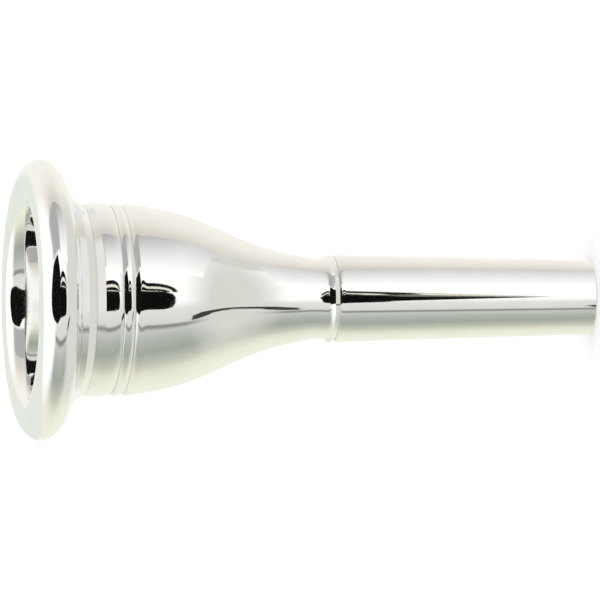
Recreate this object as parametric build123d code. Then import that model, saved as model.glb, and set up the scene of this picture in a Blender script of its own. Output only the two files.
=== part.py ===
"""A silver-plated low-brass mouthpiece that unscrews into a rim, a cup and a shank.

The mouthpiece stands on the small end of its shank. +Z runs up the bore to the rim, and the
origin is the centre of the shank's end face. All lengths are millimetres, and a point on an
outline is a radius and a height.
"""
from build123d import *
import math
import os

# ---- outside shape ----------------------------------------------------------------------
RIM_WIDEST = (22.0, 87.75)
CROWN = [(15.45, 89.8), (17.6, 90.6), (20.3, 90.1)]     # inner edge, top, outer shoulder
UNDERSIDE = [(20.8, 85.4), (17.0, 83.35), (15.3, 81.7)]
CREASE = (14.88, 81.0)           # sharp corner under the rim
BULB_TOP = (15.16, 79.3)
RIM_SEAM = (14.76, 76.75)        # rim meets cup in the bottom of the first groove
BAND_CREST = (15.06, 75.88)      # the rounded band between the two grooves
SECOND_GROOVE = (14.62, 74.85)
BODY_TOP = [(14.96, 74.2), (14.93, 73.2)]
BODY = [(14.44, 70.1), (12.84, 63.8), (10.13, 57.4), (7.8, 51.1), (6.7, 46.3)]
NECK = (6.29, 43.1)              # the narrowest place, just above the collar
COLLAR_CREST = (6.9, 41.85)      # sharp ridge of the collar
SHANK_SEAM = (6.62, 41.12)       # cup meets shank in the bottom of the collar's groove
SHOULDER_FOOT_Z = 40.1           # below this the shank is a straight taper
SHANK_END_RADIUS = 5.83
SHANK_TAPER = 1 / 40             # radius gained per millimetre: a 1 in 20 taper on the diameter
EDGE_BREAK = 0.12                # chamfer on the end of the shank
SEAM_GAP = 0.03                  # hairline left between two seated shoulders

# ---- bore: cup, throat and backbore -----------------------------------------------------
WALL_TOP = (14.72, 87.7)
UPPER_BOWL = [(12.4, 77.0), (13.7, 81.7), (14.38, 85.2)]
STUB_MOUTH = (10.45, 71.15)      # inner edge of the rim's stub, level with its end
LOWER_BOWL = [(4.75, 57.0), (6.15, 60.9), (8.5, 66.4)]
THROAT_RADIUS = 4.1
THROAT_TOP_Z = 52.5
THROAT_END_Z = 49.5
BACKBORE_END_RADIUS = 5.2

# ---- directions in which the outlines pass their ends -------------------------------------
UP = (0, 1)
DOWN = (0, -1)
WALL_LEAN = (0.13, 0.99)         # cup wall where it turns into the rim
BOWL_LEAN = (0.36, 0.93)         # cup wall at the end of the stub
INTO_CREASE = (-0.5, -0.87)
OUT_OF_CREASE = (0.3, -0.95)
BULB_FOOT = (-0.42, -0.91)
OUT_OF_GROOVE = (0.6, -0.8)
INTO_GROOVE = (-0.6, -0.8)
UP_TO_CREST = (0.6, -0.8)

# ---- screw joints -----------------------------------------------------------------------
THREAD_CLEARANCE = 0.06
THREAD_LEAD_IN = 0.4             # plain nose at the end of each stub
THREAD_CREST_SHARE = 0.09        # half the width of a crest, as a share of the pitch
THREAD_FLANK = math.tan(math.radians(30))
THREAD_BURIED = 0.15             # how deep a ridge reaches into its core
RIM_THREAD_RADIUS = 13.75
RIM_THREAD_DEPTH = 0.5
RIM_THREAD_PITCH = 1.0
RIM_THREAD_LENGTH = 4.1
SHANK_THREAD_RADIUS = 5.55
SHANK_THREAD_DEPTH = 0.38
SHANK_THREAD_PITCH = 0.75
SHANK_THREAD_LENGTH = 3.9
SHANK_STUB_LENGTH = 5.2
SOCKET_FLOOR_GAP = 0.3           # room past a stub's end when its joint is tight
OVERCUT = 0.5                    # how far a cutting tool stands out of the metal

# ---- rubber rings under the two shoulders -------------------------------------------------
RING_PLAY = 0.04                 # gap between a rubber ring and the metal round it
RIM_RING_SECTION = 0.7           # diameter of the rubber
RIM_RING_INNER = 13.19
SHANK_RING_SECTION = 0.5
SHANK_RING_INNER = 5.12


def turned(*edges):
    """Turn a closed outline round the bore."""
    return revolve(Plane.XZ * make_face(Curve() + list(edges)), Axis.Z)


def smooth(points, start, end):
    """A curve through the points that leaves the first and meets the last in the given directions."""
    leans = [Vector(*start).normalized(), Vector(*end).normalized()]
    return Edge.make_spline([Vector(*point) for point in points], tangents=leans, scale=False)


def cylinder(radius, bottom, top):
    seated = (Align.CENTER, Align.CENTER, Align.MIN)
    return Pos(0, 0, bottom) * Cylinder(radius, top - bottom, align=seated)


def shank_radius(height):
    return SHANK_END_RADIUS + SHANK_TAPER * height


def backbore_radius(height):
    share = (THROAT_END_Z - height) / THROAT_END_Z
    return THROAT_RADIUS + (BACKBORE_END_RADIUS - THROAT_RADIUS) * share


# ---- heights and radii worked out from the values above -----------------------------------
RIM_STUB_END = STUB_MOUTH[1]
RIM_THREAD_CORE = RIM_THREAD_RADIUS - RIM_THREAD_DEPTH
RIM_THREAD_FOOT = RIM_STUB_END + THREAD_LEAD_IN
RIM_THREAD_START = RIM_THREAD_FOOT - 2 * RIM_THREAD_PITCH
RIM_RING_BOTTOM = RIM_SEAM[1] - RING_PLAY - RIM_RING_SECTION
RIM_RELIEF = RIM_RING_INNER - RING_PLAY
RIM_RELIEF_END = RIM_RING_BOTTOM - 2 * RING_PLAY
RIM_GLAND = RIM_RING_INNER + RIM_RING_SECTION + RING_PLAY
CUP_TOP_Z = RIM_SEAM[1] - SEAM_GAP
RIM_SOCKET_FLOOR = RIM_STUB_END - SOCKET_FLOOR_GAP
SHANK_SHOULDER_Z = SHANK_SEAM[1] - SEAM_GAP
SHANK_STUB_END = SHANK_SHOULDER_Z + SHANK_STUB_LENGTH
SHANK_THREAD_CORE = SHANK_THREAD_RADIUS - SHANK_THREAD_DEPTH
SHANK_THREAD_FOOT = SHANK_STUB_END - THREAD_LEAD_IN - SHANK_THREAD_LENGTH
SHANK_THREAD_START = SHANK_THREAD_FOOT - 2 * SHANK_THREAD_PITCH
SHANK_RING_BOTTOM = SHANK_SHOULDER_Z + RING_PLAY
SHANK_RING_TOP = SHANK_RING_BOTTOM + SHANK_RING_SECTION
SHANK_RELIEF = SHANK_RING_INNER - RING_PLAY
SHANK_RELIEF_END = SHANK_RING_TOP + 2 * RING_PLAY
SHANK_GLAND = SHANK_RING_INNER + SHANK_RING_SECTION + RING_PLAY
SHANK_SOCKET_ROOF = SHANK_STUB_END + SOCKET_FLOOR_GAP
SHOULDER_FOOT = (shank_radius(SHOULDER_FOOT_Z), SHOULDER_FOOT_Z)


def thread_ridge(radius, depth, pitch, start, bottom, top, grow=0.0):
    """One right-hand ridge that starts at a height and is cut off between two others.

    A grown ridge with the same start is the tool that cuts the matching nut.
    """
    core = radius - depth
    crest_half = THREAD_CREST_SHARE * pitch + grow
    root_half = crest_half + THREAD_FLANK * depth
    helix = Helix(pitch, top - start + pitch, core, center=(0, 0, start))
    across = Plane(origin=helix @ 0, x_dir=(1, 0, 0), z_dir=helix % 0)
    section = Polygon(
        (-THREAD_BURIED, -root_half),
        (depth + grow, -crest_half),
        (depth + grow, crest_half),
        (-THREAD_BURIED, root_half),
        align=None,
    )
    ridge = sweep(across * section, helix, is_frenet=True)
    return ridge & cylinder(radius + pitch, bottom, top)


def rim_thread(bottom, top, grow=0.0):
    return thread_ridge(
        RIM_THREAD_RADIUS, RIM_THREAD_DEPTH, RIM_THREAD_PITCH, RIM_THREAD_START, bottom, top, grow
    )


def shank_thread(bottom, top, grow=0.0):
    return thread_ridge(
        SHANK_THREAD_RADIUS, SHANK_THREAD_DEPTH, SHANK_THREAD_PITCH, SHANK_THREAD_START, bottom, top, grow
    )


def rubber_ring(inner_radius, section, bottom):
    """An O-ring that lies level, with its lowest point at bottom."""
    return Pos(0, 0, bottom + section / 2) * Torus(inner_radius + section / 2, section / 2)


def rim():
    """Rim, crease, bulb and upper bowl, with the male stub that enters the cup."""
    body = turned(
        smooth([WALL_TOP, *CROWN, RIM_WIDEST], WALL_LEAN, DOWN),
        smooth([RIM_WIDEST, *UNDERSIDE, CREASE], DOWN, INTO_CREASE),
        smooth([CREASE, BULB_TOP, RIM_SEAM], OUT_OF_CREASE, BULB_FOOT),
        Polyline(
            RIM_SEAM,
            (RIM_RELIEF, RIM_SEAM[1]),
            (RIM_RELIEF, RIM_RELIEF_END),
            (RIM_THREAD_CORE, RIM_RELIEF_END + RIM_RELIEF - RIM_THREAD_CORE),
            (RIM_THREAD_CORE, RIM_THREAD_FOOT),
            (RIM_THREAD_CORE - THREAD_LEAD_IN, RIM_STUB_END),
            STUB_MOUTH,
        ),
        smooth([STUB_MOUTH, *UPPER_BOWL, WALL_TOP], BOWL_LEAN, WALL_LEAN),
    )
    return body + rim_thread(RIM_THREAD_FOOT, RIM_THREAD_FOOT + RIM_THREAD_LENGTH)


def cup_blank():
    """The cup before its sockets are cut: band, second groove, body, neck and collar."""
    top_edge = (RIM_SEAM[0], CUP_TOP_Z)
    throat_top = (THROAT_RADIUS, THROAT_TOP_Z)
    return turned(
        smooth([top_edge, BAND_CREST, SECOND_GROOVE], OUT_OF_GROOVE, INTO_GROOVE),
        smooth([SECOND_GROOVE, *BODY_TOP, *BODY, NECK], OUT_OF_GROOVE, DOWN),
        smooth([NECK, COLLAR_CREST], DOWN, UP_TO_CREST),
        Polyline(
            COLLAR_CREST,
            SHANK_SEAM,
            (backbore_radius(SHANK_SOCKET_ROOF), SHANK_SEAM[1]),
            (backbore_radius(SHANK_SOCKET_ROOF), SHANK_SOCKET_ROOF),
            (THROAT_RADIUS, THROAT_END_Z),
            throat_top,
        ),
        smooth([throat_top, *LOWER_BOWL, STUB_MOUTH], UP, BOWL_LEAN),
        Polyline(STUB_MOUTH, (STUB_MOUTH[0], CUP_TOP_Z), top_edge),
    )


def rim_socket():
    """Everything cut out of the cup's top: bore, thread and the gland for the rubber ring."""
    gland_floor = RIM_RING_BOTTOM - RING_PLAY
    gland = cylinder(RIM_GLAND, gland_floor, CUP_TOP_Z + OVERCUT)
    bore = cylinder(RIM_THREAD_CORE + THREAD_CLEARANCE, RIM_SOCKET_FLOOR, CUP_TOP_Z + OVERCUT)
    return bore + rim_thread(RIM_SOCKET_FLOOR + THREAD_LEAD_IN, gland_floor, THREAD_CLEARANCE) + gland


def shank_socket():
    """Everything cut out of the cup's foot: bore, thread and the gland for the rubber ring."""
    gland_roof = SHANK_RING_TOP + RING_PLAY
    gland = cylinder(SHANK_GLAND, SHANK_SEAM[1] - OVERCUT, gland_roof)
    bore = cylinder(SHANK_THREAD_CORE + THREAD_CLEARANCE, SHANK_SEAM[1] - OVERCUT, SHANK_SOCKET_ROOF)
    return bore + shank_thread(gland_roof, SHANK_SOCKET_ROOF - THREAD_LEAD_IN, THREAD_CLEARANCE) + gland


def cup():
    return cup_blank() - rim_socket() - shank_socket()


def shank():
    """Tapered shank with its backbore and the male stub that enters the cup."""
    shoulder_edge = (SHANK_SEAM[0], SHANK_SHOULDER_Z)
    body = turned(
        smooth([shoulder_edge, SHOULDER_FOOT], OUT_OF_GROOVE, (-SHANK_TAPER, -1)),
        Polyline(
            SHOULDER_FOOT,
            (shank_radius(EDGE_BREAK), EDGE_BREAK),
            (SHANK_END_RADIUS - EDGE_BREAK, 0),
            (BACKBORE_END_RADIUS, 0),
            (backbore_radius(SHANK_STUB_END), SHANK_STUB_END),
            (SHANK_THREAD_CORE - THREAD_LEAD_IN, SHANK_STUB_END),
            (SHANK_THREAD_CORE, SHANK_STUB_END - THREAD_LEAD_IN),
            (SHANK_THREAD_CORE, SHANK_RELIEF_END + SHANK_THREAD_CORE - SHANK_RELIEF),
            (SHANK_RELIEF, SHANK_RELIEF_END),
            (SHANK_RELIEF, SHANK_SHOULDER_Z),
            shoulder_edge,
        ),
    )
    return body + shank_thread(SHANK_THREAD_FOOT, SHANK_THREAD_FOOT + SHANK_THREAD_LENGTH)


def pieces():
    """Every loose piece, under the name of its node."""
    return {
        "rim": rim(),
        "rim_seal": rubber_ring(RIM_RING_INNER, RIM_RING_SECTION, RIM_RING_BOTTOM),
        "cup": cup(),
        "shank_seal": rubber_ring(SHANK_RING_INNER, SHANK_RING_SECTION, SHANK_RING_BOTTOM),
        "shank": shank(),
    }


os.makedirs("parts", exist_ok=True)
for name, piece in pieces().items():
    piece.label = name
    export_step(piece, f"parts/{name}.step")
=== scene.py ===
"""Looks for a silver-plated low-brass mouthpiece, in metres, in the frame of its CAD model.

+Z runs up the bore from the shank's end face at the origin to the rim. The outlines are the CAD
model's own, in millimetres as (radius, height), turned here on a finer mesh so that the mirror
finish shows clean reflections.
"""
import math

import bmesh
import bpy
import numpy as np
from mathutils import Matrix, Vector


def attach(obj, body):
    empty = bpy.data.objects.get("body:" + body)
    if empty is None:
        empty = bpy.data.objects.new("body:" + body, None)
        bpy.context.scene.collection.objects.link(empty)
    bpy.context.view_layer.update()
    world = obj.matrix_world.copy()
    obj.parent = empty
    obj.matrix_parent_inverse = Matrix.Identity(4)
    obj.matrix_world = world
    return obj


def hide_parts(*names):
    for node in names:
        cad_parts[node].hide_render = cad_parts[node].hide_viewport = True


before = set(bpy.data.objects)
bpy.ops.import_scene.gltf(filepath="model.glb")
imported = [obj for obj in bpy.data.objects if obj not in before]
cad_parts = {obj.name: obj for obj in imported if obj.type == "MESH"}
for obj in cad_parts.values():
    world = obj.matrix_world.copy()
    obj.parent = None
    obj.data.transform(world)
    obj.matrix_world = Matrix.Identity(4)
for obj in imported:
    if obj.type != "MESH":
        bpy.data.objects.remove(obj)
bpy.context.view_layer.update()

MM = 0.001

# ---- outlines, the same as the CAD model's ------------------------------------------------
RIM_WIDEST = (22.0, 87.75)
CROWN = [(15.45, 89.8), (17.6, 90.6), (20.3, 90.1)]
UNDERSIDE = [(20.8, 85.4), (17.0, 83.35), (15.3, 81.7)]
CREASE = (14.88, 81.0)
BULB_TOP = (15.16, 79.3)
RIM_SEAM = (14.76, 76.75)
BAND_CREST = (15.06, 75.88)
SECOND_GROOVE = (14.62, 74.85)
BODY_TOP = [(14.96, 74.2), (14.93, 73.2)]
BODY = [(14.44, 70.1), (12.84, 63.8), (10.13, 57.4), (7.8, 51.1), (6.7, 46.3)]
NECK = (6.29, 43.1)
COLLAR_CREST = (6.9, 41.85)
SHANK_SEAM = (6.62, 41.12)
SHOULDER_FOOT_Z = 40.1
SHANK_END_RADIUS = 5.83
SHANK_TAPER = 1 / 40
EDGE_BREAK = 0.12
SEAM_GAP = 0.03
WALL_TOP = (14.72, 87.7)
UPPER_BOWL = [(12.4, 77.0), (13.7, 81.7), (14.38, 85.2)]
STUB_MOUTH = (10.45, 71.15)
LOWER_BOWL = [(4.75, 57.0), (6.15, 60.9), (8.5, 66.4)]
THROAT_RADIUS = 4.1
THROAT_TOP_Z = 52.5
THROAT_END_Z = 49.5
BACKBORE_END_RADIUS = 5.2

UP = (0, 1)
DOWN = (0, -1)
WALL_LEAN = (0.13, 0.99)
BOWL_LEAN = (0.36, 0.93)
INTO_CREASE = (-0.5, -0.87)
OUT_OF_CREASE = (0.3, -0.95)
BULB_FOOT = (-0.42, -0.91)
OUT_OF_GROOVE = (0.6, -0.8)
INTO_GROOVE = (-0.6, -0.8)
UP_TO_CREST = (0.6, -0.8)

# ---- screw joints and rubber rings ---------------------------------------------------------
THREAD_CLEARANCE = 0.06
THREAD_LEAD_IN = 0.4
THREAD_CREST_SHARE = 0.09
THREAD_FLANK = math.tan(math.radians(30))
THREAD_BURIED = 0.15
RIM_THREAD = {"core": 13.25, "depth": 0.5, "pitch": 1.0, "start": 69.55}
RIM_THREAD_LENGTH = 4.1
SHANK_THREAD = {"core": 5.17, "depth": 0.38, "pitch": 0.75}
SHANK_THREAD_LENGTH = 3.9
SHANK_STUB_LENGTH = 5.2
SOCKET_FLOOR_GAP = 0.3
RING_PLAY = 0.04
RING_FLASH = 0.012
RIM_RING_SECTION = 0.7
RIM_RING_INNER = 13.19
SHANK_RING_SECTION = 0.5
SHANK_RING_INNER = 5.12

RIM_STUB_END = STUB_MOUTH[1]
RIM_THREAD_FOOT = RIM_STUB_END + THREAD_LEAD_IN
RIM_RING_BOTTOM = RIM_SEAM[1] - RING_PLAY - RIM_RING_SECTION
RIM_RELIEF = RIM_RING_INNER - RING_PLAY
RIM_RELIEF_END = RIM_RING_BOTTOM - 2 * RING_PLAY
RIM_GLAND = RIM_RING_INNER + RIM_RING_SECTION + RING_PLAY
CUP_TOP_Z = RIM_SEAM[1] - SEAM_GAP
RIM_SOCKET_FLOOR = RIM_STUB_END - SOCKET_FLOOR_GAP
SHANK_SHOULDER_Z = SHANK_SEAM[1] - SEAM_GAP
SHANK_STUB_END = SHANK_SHOULDER_Z + SHANK_STUB_LENGTH
SHANK_THREAD_FOOT = SHANK_STUB_END - THREAD_LEAD_IN - SHANK_THREAD_LENGTH
SHANK_THREAD["start"] = SHANK_THREAD_FOOT - 2 * SHANK_THREAD["pitch"]
SHANK_RING_BOTTOM = SHANK_SHOULDER_Z + RING_PLAY
SHANK_RING_TOP = SHANK_RING_BOTTOM + SHANK_RING_SECTION
SHANK_RELIEF = SHANK_RING_INNER - RING_PLAY
SHANK_RELIEF_END = SHANK_RING_TOP + 2 * RING_PLAY
SHANK_GLAND = SHANK_RING_INNER + SHANK_RING_SECTION + RING_PLAY
SHANK_SOCKET_ROOF = SHANK_STUB_END + SOCKET_FLOOR_GAP

# ---- mesh fineness -------------------------------------------------------------------------
COLUMNS = 240
FINE = 0.25                      # spacing of the rows on the outside
COARSE = 0.8                     # and in the bore
RING_ROWS = 32
SHARP_ANGLE = math.radians(30)
MERGE = 1e-6
ANGLES = np.linspace(0, 2 * math.pi, COLUMNS + 1)

# ---- finishes: roughness and colours, and depths in metres --------------------------------------
PLATE_ROUGHNESS = 0.035
SATIN_ROUGHNESS = 0.16
PLATE_LINE_DEPTH = 2e-8
SATIN_LINE_DEPTH = 2e-7
RUBBER_GRAIN_DEPTH = 4e-6
SILVER = (0.965, 0.96, 0.945, 1)
TARNISH = (0.42, 0.36, 0.27, 1)
RUBBER = (0.012, 0.012, 0.013, 1)
RUBBER_DUST = (0.04, 0.038, 0.036, 1)

# ---- camera: almost side on, with the rim to the left and tipped towards the lens ----------
TILT = math.radians(10.6)
ROLL = math.radians(-0.31)
DISTANCE = 2.192
FRAME_PIXELS = 600
FOCAL_PIXELS = 14000
SENSOR = 36.0
CLIP_END = 20
LOOK_AT = Vector((-0.00019, 0, 0.0463))

# ---- studio ----------------------------------------------------------------------------------
FLOOR_SIZE = 6
FLOOR_ALBEDO = 0.9
SOFT_LIGHT = 1.3                 # white light on everything that isn't a mirror
REFLECTED_LIGHT = 1.08
CARD_DISTANCE = 0.110
TAIL_DISTANCE = 0.200
LAYER = 0.0004                   # gap between two cards laid over each other
ARCH_POINTS = 41
ARCH_SQUARENESS = 0.8            # 1 is an ellipse, and less is squarer
SCREEN_REACH = 0.11
SCREEN_START = 35                # degrees round from the camera
SCREEN_COLUMNS = 21
SCREEN_DARKEST = 0.59
RIM_LIGHT_REACH = 0.0158
RIM_LIGHT_HEIGHTS = (0.07965, 0.082)
RIM_LIGHT_BRIGHTEST = 0.76
REFLECTED_TURN = 1.9             # the metal turns a reflection by about twice its own angle
WHITE = (1, 1, 1)
BLACK = (0.004, 0.004, 0.004)
SOOT = (0.05, 0.05, 0.045)
SMOKE = (0.16, 0.16, 0.14)
CREAM = (0.8, 0.77, 0.66)
GROUND = (0.66, 0.67, 0.63)      # what is reflected from straight below
BACK_WALL = (0.75, 0.79, 0.73)   # and from behind and above
BACK_WALL_TOWARDS = (-0.24, 0.86, 0.45)
BACK_WALL_STARTS = (0.86, 0.9)   # how nearly a direction points that way: from here, and all of it
CEILING_STARTS = (0.6, 0.8)      # how steeply it points up
GROUND_STARTS = (-0.6, -0.8)
ROOM = [                         # degrees round from the camera, towards +X, and the colour there
    (-180, (0.86, 0.86, 0.82)),
    (-140, (0.83, 0.84, 0.72)),
    (-117, (0.79, 0.8, 0.68)),
    (-103, (0.7, 0.71, 0.59)),
    (-90, (0.52, 0.54, 0.46)),
    (-70, (0.35, 0.38, 0.34)),
    (-52, (0.43, 0.46, 0.42)),
    (-40, (0.55, 0.56, 0.54)),
    (-37, (0.25, 0.26, 0.25)),
    (-34, (0.25, 0.26, 0.25)),
    (-32, (0.66, 0.66, 0.65)),
    (-12, (0.74, 0.74, 0.72)),
    (-2, WHITE),
    (70, WHITE),
    (76, (0.6, 0.59, 0.55)),
    (90, (0.64, 0.62, 0.58)),
    (103, (0.76, 0.73, 0.67)),
    (120, (0.84, 0.81, 0.76)),
    (145, (0.88, 0.87, 0.81)),
]


# ---- outlines --------------------------------------------------------------------------------
def smooth(points, start, end, step=FINE):
    """A curve through the points that leaves the first and meets the last in the given directions."""
    knots = np.array(points, float)
    last = len(knots) - 1
    spans = np.hypot(*np.diff(knots, axis=0).T)
    system = np.eye(last + 1)
    slopes = np.zeros((last + 1, 2))
    slopes[0] = np.array(start) / math.hypot(*start)
    slopes[last] = np.array(end) / math.hypot(*end)
    for i in range(1, last):
        before = spans[i - 1]
        after = spans[i]
        system[i, i - 1:i + 2] = (after, 2 * (before + after), before)
        rise_before = (knots[i] - knots[i - 1]) / before
        rise_after = (knots[i + 1] - knots[i]) / after
        slopes[i] = 3 * (after * rise_before + before * rise_after)
    slopes = np.linalg.solve(system, slopes)
    curve = []
    for i in range(last):
        count = max(4, round(spans[i] / step))
        for share in np.arange(count) / count:
            rest = 1 - share
            point = rest ** 2 * (1 + 2 * share) * knots[i] + share ** 2 * (1 + 2 * rest) * knots[i + 1]
            lean = share * rest * (rest * slopes[i] - share * slopes[i + 1])
            curve.append(tuple(point + spans[i] * lean))
    curve.append(tuple(knots[last]))
    return curve


def straight(*corners, step=COARSE):
    """Straight lines through the corners, with rows along the long ones."""
    rows = [corners[0]]
    for a, b in zip(corners, corners[1:]):
        count = max(1, math.ceil(math.dist(a, b) / step))
        for share in np.arange(1, count + 1) / count:
            rows.append((a[0] + share * (b[0] - a[0]), a[1] + share * (b[1] - a[1])))
    return rows


def threaded(thread, bottom, top, grow=0.0):
    """Rows that follow the ridge's root and crest round, from the bottom up."""
    core = thread["core"] + grow
    pitch = thread["pitch"]
    crest_half = THREAD_CREST_SHARE * pitch + grow
    root_half = crest_half + THREAD_FLANK * thread["depth"]
    share = thread["depth"] / (thread["depth"] + grow + THREAD_BURIED)
    foot_half = min(crest_half + (root_half - crest_half) * share, 0.49 * pitch)
    first = math.floor((bottom - thread["start"]) / pitch) - 2
    final = math.ceil((top - thread["start"]) / pitch) + 1
    rows = []
    for turn in range(first, final):
        middle = thread["start"] + pitch * (turn + ANGLES / (2 * math.pi))
        for offset in (-foot_half, -crest_half, crest_half, foot_half):
            height = np.clip(middle + offset, bottom, top)
            turns_away = (height - middle) / pitch
            away = pitch * np.abs(turns_away - np.round(turns_away))
            reach = (foot_half - away) / (foot_half - crest_half)
            radius = core + thread["depth"] * np.clip(reach, 0, 1)
            rows.append((radius, height))
    return rows


def shank_radius(height):
    return SHANK_END_RADIUS + SHANK_TAPER * height


def backbore_radius(height):
    share = (THROAT_END_Z - height) / THROAT_END_Z
    return THROAT_RADIUS + (BACKBORE_END_RADIUS - THROAT_RADIUS) * share


# ---- pieces -----------------------------------------------------------------------------------
def turned_piece(name, runs, finishes, body, node):
    """A closed turned mesh. Each run is its rows of (radius, height) and the number of its finish."""
    rows = []
    finish_of_row = []
    for run, finish in runs:
        rows.extend(run)
        finish_of_row.extend([finish] * len(run))
    points = []
    for radius, height in rows:
        ring = (radius * np.cos(ANGLES), radius * np.sin(ANGLES), height + 0 * ANGLES)
        points.append(np.stack(ring, axis=1) * MM)
    width = COLUMNS + 1
    faces = []
    finish_of_face = []
    for i in range(len(rows)):
        after = (i + 1) % len(rows)
        for j in range(COLUMNS):
            near = i * width + j
            far = after * width + j
            faces.append((near, near + 1, far + 1, far))
            finish_of_face.append(finish_of_row[i])
    mesh = bpy.data.meshes.new(name)
    mesh.from_pydata(np.concatenate(points).tolist(), [], faces)
    mesh.polygons.foreach_set("material_index", finish_of_face)
    work = bmesh.new()
    work.from_mesh(mesh)
    bmesh.ops.remove_doubles(work, verts=work.verts, dist=MERGE)
    bmesh.ops.dissolve_degenerate(work, edges=work.edges, dist=MERGE)
    bmesh.ops.recalc_face_normals(work, faces=work.faces)
    work.to_mesh(mesh)
    work.free()
    for finish in finishes:
        mesh.materials.append(finish)
    for polygon in mesh.polygons:
        polygon.use_smooth = True
    mesh.set_sharp_from_angle(angle=SHARP_ANGLE)
    piece = bpy.data.objects.new(name, mesh)
    bpy.context.scene.collection.objects.link(piece)
    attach(piece, body)
    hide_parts(node)
    return piece


MIRROR, SATIN = 0, 1


def rim_runs():
    """Crown, underside and bulb, then the threaded stub, then up the inside of the bowl."""
    thread = threaded(RIM_THREAD, RIM_THREAD_FOOT, RIM_THREAD_FOOT + RIM_THREAD_LENGTH)
    core = RIM_THREAD["core"]
    stub = straight(RIM_SEAM, (RIM_RELIEF, RIM_SEAM[1]), (RIM_RELIEF, RIM_RELIEF_END))
    neck = [(core, RIM_RELIEF_END + RIM_RELIEF - core), (core, RIM_THREAD_FOOT + RIM_THREAD_LENGTH)]
    nose = straight((core, RIM_THREAD_FOOT), (core - THREAD_LEAD_IN, RIM_STUB_END), STUB_MOUTH)
    return [
        (smooth([WALL_TOP, *CROWN, RIM_WIDEST], WALL_LEAN, DOWN), MIRROR),
        (smooth([RIM_WIDEST, *UNDERSIDE, CREASE], DOWN, INTO_CREASE)[1:], MIRROR),
        (smooth([CREASE, BULB_TOP, RIM_SEAM], OUT_OF_CREASE, BULB_FOOT)[1:-1], MIRROR),
        (stub + neck, SATIN),
        (thread[::-1], SATIN),
        (nose, SATIN),
        (smooth([STUB_MOUTH, *UPPER_BOWL, WALL_TOP], BOWL_LEAN, WALL_LEAN, 2 * FINE)[1:-1], MIRROR),
    ]


def cup_runs():
    """Band, groove, body and collar, up through the shank's socket and funnel, then the rim's socket."""
    top_edge = (RIM_SEAM[0], CUP_TOP_Z)
    throat_top = (THROAT_RADIUS, THROAT_TOP_Z)
    foot_bore = SHANK_THREAD["core"] + THREAD_CLEARANCE
    gland_roof = SHANK_RING_TOP + RING_PLAY
    foot_thread_top = SHANK_SOCKET_ROOF - THREAD_LEAD_IN
    top_bore = RIM_THREAD["core"] + THREAD_CLEARANCE
    gland_floor = RIM_RING_BOTTOM - RING_PLAY
    top_thread_foot = RIM_SOCKET_FLOOR + THREAD_LEAD_IN
    roof_bore = backbore_radius(SHANK_SOCKET_ROOF)
    bowl_edge = lower_bowl_edge()
    return [
        (smooth([top_edge, BAND_CREST, SECOND_GROOVE], OUT_OF_GROOVE, INTO_GROOVE, 0.12), MIRROR),
        (smooth([SECOND_GROOVE, *BODY_TOP, *BODY, NECK], OUT_OF_GROOVE, DOWN)[1:], MIRROR),
        (smooth([NECK, COLLAR_CREST], DOWN, UP_TO_CREST, 0.12)[1:], MIRROR),
        (straight(COLLAR_CREST, SHANK_SEAM, step=0.15)[1:], MIRROR),
        (straight((SHANK_GLAND, SHANK_SEAM[1]), (SHANK_GLAND, gland_roof)), SATIN),
        (threaded(SHANK_THREAD, gland_roof, foot_thread_top, THREAD_CLEARANCE), SATIN),
        (straight((foot_bore, foot_thread_top), (foot_bore, SHANK_SOCKET_ROOF)), SATIN),
        (straight((roof_bore, SHANK_SOCKET_ROOF), (THROAT_RADIUS, THROAT_END_Z), throat_top), SATIN),
        (bowl_edge[1:], SATIN),
        (straight((top_bore, RIM_SOCKET_FLOOR), (top_bore, top_thread_foot)), SATIN),
        (threaded(RIM_THREAD, top_thread_foot, gland_floor, THREAD_CLEARANCE), SATIN),
        (straight((RIM_GLAND, gland_floor), (RIM_GLAND, CUP_TOP_Z)), SATIN),
    ]


def lower_bowl_edge():
    """The funnel from the throat up to the floor of the rim's socket."""
    curve = smooth([(THROAT_RADIUS, THROAT_TOP_Z), *LOWER_BOWL, STUB_MOUTH], UP, BOWL_LEAN, 2 * FINE)
    inside = [point for point in curve if point[1] < RIM_SOCKET_FLOOR]
    radius = np.interp(RIM_SOCKET_FLOOR, [p[1] for p in curve], [p[0] for p in curve])
    return inside + [(radius, RIM_SOCKET_FLOOR)]


def shank_runs():
    """Shoulder, taper and end face, up the backbore, then the threaded stub back to the shoulder."""
    core = SHANK_THREAD["core"]
    shoulder = (SHANK_SEAM[0], SHANK_SHOULDER_Z)
    foot = (shank_radius(SHOULDER_FOOT_Z), SHOULDER_FOOT_Z)
    end_edge = (shank_radius(EDGE_BREAK), EDGE_BREAK)
    backbore_top = (backbore_radius(SHANK_STUB_END), SHANK_STUB_END)
    thread = threaded(SHANK_THREAD, SHANK_THREAD_FOOT, SHANK_THREAD_FOOT + SHANK_THREAD_LENGTH)
    relief_foot = (core, SHANK_RELIEF_END + core - SHANK_RELIEF)
    return [
        (smooth([shoulder, foot], OUT_OF_GROOVE, (-SHANK_TAPER, -1), 0.06), MIRROR),
        (straight(foot, end_edge, (SHANK_END_RADIUS - EDGE_BREAK, 0))[1:], MIRROR),
        (straight((BACKBORE_END_RADIUS, 0), backbore_top), SATIN),
        (straight((core - THREAD_LEAD_IN, SHANK_STUB_END), (core, SHANK_STUB_END - THREAD_LEAD_IN)), SATIN),
        (thread[::-1], SATIN),
        ([(core, SHANK_THREAD_FOOT), relief_foot], SATIN),
        ([(SHANK_RELIEF, SHANK_RELIEF_END), (SHANK_RELIEF, SHANK_SHOULDER_Z)], SATIN),
    ]


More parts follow.
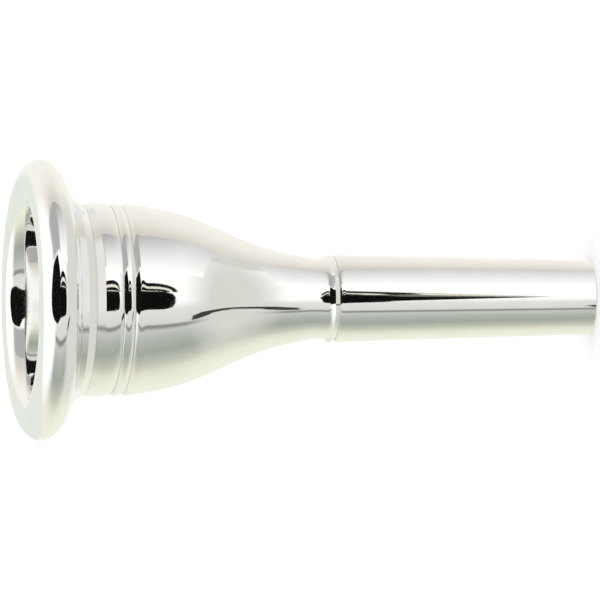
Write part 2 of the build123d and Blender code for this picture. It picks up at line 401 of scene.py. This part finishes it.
def ring_runs(inner_radius, section, bottom):
    """A moulded rubber ring, with the fine parting line of its mould at mid height."""
    centre = (inner_radius + section / 2, bottom + section / 2)
    radius = section / 2 - RING_FLASH
    rows = []
    for i in range(RING_ROWS):
        angle = 2 * math.pi * i / RING_ROWS
        reach = radius + RING_FLASH * (i % (RING_ROWS // 2) == 0)
        rows.append((centre[0] + reach * math.cos(angle), centre[1] + radius * math.sin(angle)))
    return [(rows, 0)]


# ---- materials ---------------------------------------------------------------------------------
class Nodes:
    """Adds nodes to the tree of a material or a world, and joins them."""

    def __init__(self, owner):
        owner.use_nodes = True
        self.tree = owner.node_tree

    def fill(self, node, inputs):
        for key, value in inputs.items():
            if isinstance(value, bpy.types.NodeSocket):
                self.tree.links.new(value, node.inputs[key])
            else:
                node.inputs[key].default_value = value

    def add(self, kind, inputs=None, **settings):
        node = self.tree.nodes.new(kind)
        for key, value in settings.items():
            setattr(node, key, value)
        self.fill(node, inputs or {})
        return node

    def math(self, operation, a, b=0.0):
        return self.add("ShaderNodeMath", {0: a, 1: b}, operation=operation).outputs[0]

    def map(self, value, start, end, low=0.0, high=1.0):
        inputs = {"Value": value, "From Min": start, "From Max": end, "To Min": low, "To Max": high}
        return self.add("ShaderNodeMapRange", inputs).outputs[0]

    def noise(self, point, scale, detail=3.0):
        inputs = {"Vector": point, "Scale": scale, "Detail": detail}
        return self.add("ShaderNodeTexNoise", inputs).outputs[0]

    def mix(self, share, a, b):
        inputs = {"Factor": share, 6: a, 7: b}
        return self.add("ShaderNodeMix", inputs, data_type="RGBA").outputs[2]


def silver(name, roughness, line_depth, grooves):
    """Silver plate: fine turning lines, hairline scratches, a soft haze and tarnish left in the grooves."""
    material = bpy.data.materials.new(name)
    nodes = Nodes(material)
    point = nodes.add("ShaderNodeTexCoord").outputs["Object"]
    height = nodes.add("ShaderNodeSeparateXYZ", {0: point}).outputs[2]
    flat = nodes.add("ShaderNodeVectorMath", {0: point, 1: (1, 1, 0)}, operation="MULTIPLY").outputs[0]
    radius = nodes.add("ShaderNodeVectorMath", {0: flat}, operation="LENGTH").outputs["Value"]
    along = nodes.math("ADD", nodes.math("MULTIPLY", radius, 0.8), height)
    turning = {"W": along, "Scale": 9000.0, "Detail": 2.0}
    lines = nodes.add("ShaderNodeTexNoise", turning, noise_dimensions="1D").outputs[0]
    haze = nodes.noise(point, 220.0)
    slant = {"Vector": point, "Rotation": (0.5, 0.3, 0.9), "Scale": (1, 30, 1)}
    stretched = nodes.add("ShaderNodeMapping", slant).outputs[0]
    scratches = nodes.map(nodes.noise(stretched, 700.0, 1.0), 0.69, 0.76)
    rough = nodes.map(haze, 0.35, 0.65, 0.7 * roughness, 1.3 * roughness)
    rough = nodes.math("ADD", rough, nodes.math("MULTIPLY", lines, 0.5 * roughness))
    rough = nodes.math("ADD", rough, nodes.math("MULTIPLY", scratches, 0.06))
    tarnish = nodes.map(haze, 0.3, 0.7, 0.06, 0.0)
    for groove, reach in grooves:
        away = nodes.math("ABSOLUTE", nodes.math("SUBTRACT", height, groove * MM))
        near = nodes.map(away, 0.0, reach * MM, 0.3, 0.0)
        tarnish = nodes.math("MAXIMUM", tarnish, near)
    relief = nodes.math("SUBTRACT", lines, nodes.math("MULTIPLY", scratches, 0.3))
    bump = nodes.add("ShaderNodeBump", {"Height": relief, "Strength": 1.0, "Distance": line_depth})
    nodes.fill(nodes.tree.nodes["Principled BSDF"], {
        "Base Color": nodes.mix(tarnish, SILVER, TARNISH),
        "Metallic": 1.0,
        "Roughness": nodes.math("ADD", rough, nodes.math("MULTIPLY", tarnish, 0.15)),
        "Normal": bump.outputs[0],
    })
    return material


def rubber():
    """Black nitrile rubber, with a dusty bloom and a fine moulded grain."""
    material = bpy.data.materials.new("seal_rubber")
    nodes = Nodes(material)
    point = nodes.add("ShaderNodeTexCoord").outputs["Object"]
    bloom = nodes.noise(point, 900.0)
    grain = nodes.noise(point, 9000.0)
    bump = nodes.add("ShaderNodeBump", {"Height": grain, "Strength": 1.0, "Distance": RUBBER_GRAIN_DEPTH})
    nodes.fill(nodes.tree.nodes["Principled BSDF"], {
        "Base Color": nodes.mix(nodes.map(bloom, 0.4, 0.7), RUBBER, RUBBER_DUST),
        "Roughness": nodes.map(bloom, 0.3, 0.7, 0.38, 0.6),
        "Normal": bump.outputs[0],
    })
    return material


# ---- studio ----------------------------------------------------------------------------------
def glow(name, colour):
    material = bpy.data.materials.new(name)
    nodes = Nodes(material)
    nodes.tree.nodes.clear()
    emission = nodes.add("ShaderNodeEmission", {"Color": (*colour, 1), "Strength": REFLECTED_LIGHT})
    nodes.add("ShaderNodeOutputMaterial", {"Surface": emission.outputs[0]})
    return material


def shaded_glow(name, output):
    """A glow whose colour is the mesh's own shade."""
    material = glow(name, WHITE)
    nodes = Nodes(material)
    attribute = nodes.add("ShaderNodeAttribute", attribute_name="shade")
    nodes.fill(nodes.tree.nodes["Emission"], {"Color": attribute.outputs[output]})
    return material


def add_card(name, outline, colour, layer=0, distance=CARD_DISTANCE):
    """A flat card towards the camera that only shows in the metal. The outline is (x, z) in millimetres."""
    front = -distance + layer * LAYER
    mesh = bpy.data.meshes.new(name)
    corners = [(x * MM, front, z * MM) for x, z in outline]
    mesh.from_pydata(corners, [], [tuple(range(len(corners)))])
    mesh.materials.append(glow(name, colour))
    return only_reflected(name, mesh)


def only_reflected(name, mesh):
    card = bpy.data.objects.new(name, mesh)
    bpy.context.scene.collection.objects.link(card)
    card.visible_camera = False
    card.visible_diffuse = False
    card.visible_shadow = False
    card.visible_transmission = False
    return card


def arch(left, reach, bottom, top):
    """Half a rounded oblong that bulges towards +X from x = left."""
    middle = (bottom + top) / 2
    half = (top - bottom) / 2
    points = []
    for angle in np.linspace(-math.pi / 2, math.pi / 2, ARCH_POINTS):
        across = reach * abs(math.cos(angle)) ** ARCH_SQUARENESS
        points.append((left + across, middle + half * math.sin(angle)))
    return points


def wedge(left, right, tip, bottom):
    """Hangs down to a point from behind the dark figure."""
    return [(left, 5), (left, -10), (tip, bottom), (right, -10), (right, 5)]


def add_dark_figure():
    """What stands behind the camera's side of the light: a dark body with a striped edge."""
    body = [
        (-19, 8), (-8, 5), (6, 5), (14, 8), (18.4, 16), (18.4, 90), (46, 100), (79, 126), (83, 248),
        (56, 346), (19, 430), (-19, 430), (-38, 330), (-41, 248),
        (-38, 149), (-25, 95), (-23.4, 16),
    ]
    low_bar = [
        (-48, -28), (-64, -31), (-61, -50), (-55, -74), (-50, -80), (-46, -114), (-36, -114),
        (-38, -75), (-40, -45),
    ]
    add_card("dark_figure", body, BLACK)
    add_card("outer_stripe", arch(17.9, 26.4, 2, 102), BLACK, 1)
    add_card("cream_stripe", arch(17.9, 16.2, 8, 96), CREAM, 2)
    add_card("inner_stripe", arch(17.9, 9.6, 12, 91), BLACK, 3)
    add_card("fine_line", arch(17.9, 2.1, 15, 88), WHITE, 4)
    add_card("figure_edge", [(17.5, 15), (18.6, 15), (18.6, 90), (17.5, 90)], BLACK, 5)
    add_card("low_bar", low_bar, SOOT)
    add_card("tail_line", wedge(-32, 72, 8, -43), SMOKE, 0, TAIL_DISTANCE)
    add_card("tail_cream", wedge(-32, 66, 8, -42), CREAM, 1, TAIL_DISTANCE)
    add_card("tail_grey", wedge(-32, 40, 7, -42), SMOKE, 2, TAIL_DISTANCE)
    add_card("tail_dark", wedge(-32, 18, 3, -40), BLACK, 3, TAIL_DISTANCE)


def add_side_screen():
    """A grey screen on the +X side that is darkest at the height of the rim and thins out below."""
    levels = [                   # height, how dark, over how many degrees it comes in, where it ends
        (-0.04, 0.6, 50, 87), (0.0, 0.6, 48, 86), (0.03, 0.85, 46, 82), (0.06, 0.95, 42, 79.5),
        (0.072, 0.95, 40, 79.5), (0.08, 1.0, 4, 79.5), (0.15, 1.0, 4, 80), (0.19, 0.9, 4, 80),
        (0.23, 0.0, 4, 80),
    ]
    points = []
    greys = []
    for height, shade, spread, end in levels:
        for turn in np.linspace(SCREEN_START, end, SCREEN_COLUMNS):
            points.append(round_the_piece(turn, SCREEN_REACH, height))
            greys.append(1 - SCREEN_DARKEST * shade * min(1, (turn - SCREEN_START) / spread))
    mesh = bpy.data.meshes.new("side_screen")
    mesh.from_pydata(points, [], grid_faces(len(levels), SCREEN_COLUMNS))
    shade = mesh.attributes.new("shade", "FLOAT", "POINT")
    shade.data.foreach_set("value", greys)
    mesh.materials.append(shaded_glow("side_screen", "Fac"))
    only_reflected("side_screen", mesh)


def round_the_piece(turn, reach, height):
    """The point that many degrees round from the camera's side, towards +X."""
    angle = math.radians(turn)
    return (reach * math.sin(angle), -reach * math.cos(angle), height)


def grid_faces(rows, columns):
    faces = []
    for i in range(rows - 1):
        for j in range(columns - 1):
            corner = i * columns + j
            faces.append((corner, corner + 1, corner + columns + 1, corner + columns))
    return faces


def add_rim_light():
    """A narrow pale card tucked under the rim, which keeps the crease bright.

    It has the room's own colours, so that only the dark figure goes missing behind it.
    """
    turns = np.arange(-66, 79, 3)
    degrees = [stop[0] for stop in ROOM]
    points = []
    tints = []
    for height in RIM_LIGHT_HEIGHTS:
        for turn in turns:
            points.append(round_the_piece(turn, RIM_LIGHT_REACH, height))
            for i in range(3):
                room = np.interp(REFLECTED_TURN * turn, degrees, [stop[1][i] for stop in ROOM])
                tints.append(min(room, RIM_LIGHT_BRIGHTEST))
            tints.append(1)
    mesh = bpy.data.meshes.new("rim_light")
    mesh.from_pydata(points, [], grid_faces(len(RIM_LIGHT_HEIGHTS), len(turns)))
    tint = mesh.attributes.new("shade", "FLOAT_COLOR", "POINT")
    tint.data.foreach_set("color", tints)
    mesh.materials.append(shaded_glow("rim_light", "Color"))
    only_reflected("rim_light", mesh)


def add_world():
    """Even white light, while the mirror finish sees the pale colours of a room."""
    world = bpy.data.worlds.new("studio")
    bpy.context.scene.world = world
    nodes = Nodes(world)
    nodes.tree.nodes.clear()
    direction = nodes.add("ShaderNodeTexCoord").outputs["Generated"]
    right, forward, up = nodes.add("ShaderNodeSeparateXYZ", {0: direction}).outputs
    turn = nodes.math("ARCTAN2", right, nodes.math("MULTIPLY", forward, -1.0))
    ramp = nodes.add("ShaderNodeValToRGB", {0: nodes.map(turn, -math.pi, math.pi)})
    stops = ramp.color_ramp.elements
    while len(stops) < len(ROOM):
        stops.new(0.5)
    for stop, (degrees, colour) in zip(stops, ROOM):
        stop.position = degrees / 360 + 0.5
        stop.color = (*colour, 1)
    facing = {0: direction, 1: BACK_WALL_TOWARDS}
    behind = nodes.add("ShaderNodeVectorMath", facing, operation="DOT_PRODUCT").outputs["Value"]
    seen = nodes.mix(nodes.map(up, *CEILING_STARTS), ramp.outputs[0], (*WHITE, 1))
    seen = nodes.mix(nodes.map(behind, *BACK_WALL_STARTS), seen, (*BACK_WALL, 1))
    seen = nodes.mix(nodes.map(up, *GROUND_STARTS), seen, (*GROUND, 1))
    even = nodes.add("ShaderNodeBackground", {"Color": (*WHITE, 1), "Strength": SOFT_LIGHT})
    room = nodes.add("ShaderNodeBackground", {"Color": seen, "Strength": REFLECTED_LIGHT})
    reflected = nodes.add("ShaderNodeLightPath").outputs["Is Glossy Ray"]
    both = nodes.add("ShaderNodeMixShader", {0: reflected, 1: even.outputs[0], 2: room.outputs[0]})
    nodes.add("ShaderNodeOutputWorld", {"Surface": both.outputs[0]})


def add_floor():
    bpy.ops.mesh.primitive_plane_add(size=FLOOR_SIZE, location=(0, 0, 0))
    floor = bpy.context.object
    floor.name = "floor"
    material = bpy.data.materials.new("floor")
    nodes = Nodes(material)
    nodes.fill(nodes.tree.nodes["Principled BSDF"], {
        "Base Color": (FLOOR_ALBEDO, FLOOR_ALBEDO, FLOOR_ALBEDO, 1),
        "Roughness": 0.9,
        "Specular IOR Level": 0.0,
    })
    floor.data.materials.append(material)
    floor.visible_glossy = False


def add_camera():
    data = bpy.data.cameras.new("camera")
    camera = bpy.data.objects.new("camera", data)
    bpy.context.scene.collection.objects.link(camera)
    toward = Vector((0, -math.cos(TILT), math.sin(TILT)))
    turn = Matrix.Rotation(ROLL, 3, toward)
    right = turn @ Vector((0, -math.sin(TILT), -math.cos(TILT)))
    up = turn @ Vector((1, 0, 0))
    place = Matrix((right, up, toward)).transposed().to_4x4()
    place.translation = LOOK_AT + toward * DISTANCE
    camera.matrix_world = place
    data.sensor_width = SENSOR
    data.lens = SENSOR * FOCAL_PIXELS / FRAME_PIXELS
    data.clip_end = CLIP_END
    bpy.context.scene.camera = camera


rim_grooves = [(CREASE[1], 0.25), (RIM_SEAM[1], 0.2)]
cup_grooves = [(RIM_SEAM[1], 0.2), (SECOND_GROOVE[1], 0.25), (SHANK_SEAM[1], 0.2)]
shank_grooves = [(SHANK_SEAM[1], 0.25)]
rim_mirror = silver("rim_mirror", PLATE_ROUGHNESS, PLATE_LINE_DEPTH, rim_grooves)
cup_mirror = silver("cup_mirror", PLATE_ROUGHNESS, PLATE_LINE_DEPTH, cup_grooves)
shank_mirror = silver("shank_mirror", PLATE_ROUGHNESS, PLATE_LINE_DEPTH, shank_grooves)
satin = silver("silver_satin", SATIN_ROUGHNESS, SATIN_LINE_DEPTH, [])
seal = rubber()
turned_piece("rim_metal", rim_runs(), [rim_mirror, satin], "rim_body", "rim")
turned_piece("cup_metal", cup_runs(), [cup_mirror, satin], "cup_body", "cup")
turned_piece("shank_metal", shank_runs(), [shank_mirror, satin], "shank_body", "shank")
turned_piece("rim_seal_ring", ring_runs(RIM_RING_INNER, RIM_RING_SECTION, RIM_RING_BOTTOM), [seal],
             "rim_seal_body", "rim_seal")
turned_piece("shank_seal_ring", ring_runs(SHANK_RING_INNER, SHANK_RING_SECTION, SHANK_RING_BOTTOM), [seal],
             "shank_seal_body", "shank_seal")
add_world()
add_floor()
add_dark_figure()
add_side_screen()
add_rim_light()
add_camera()
bpy.context.scene.view_settings.view_transform = "Standard"
bpy.context.scene.view_settings.look = "None"
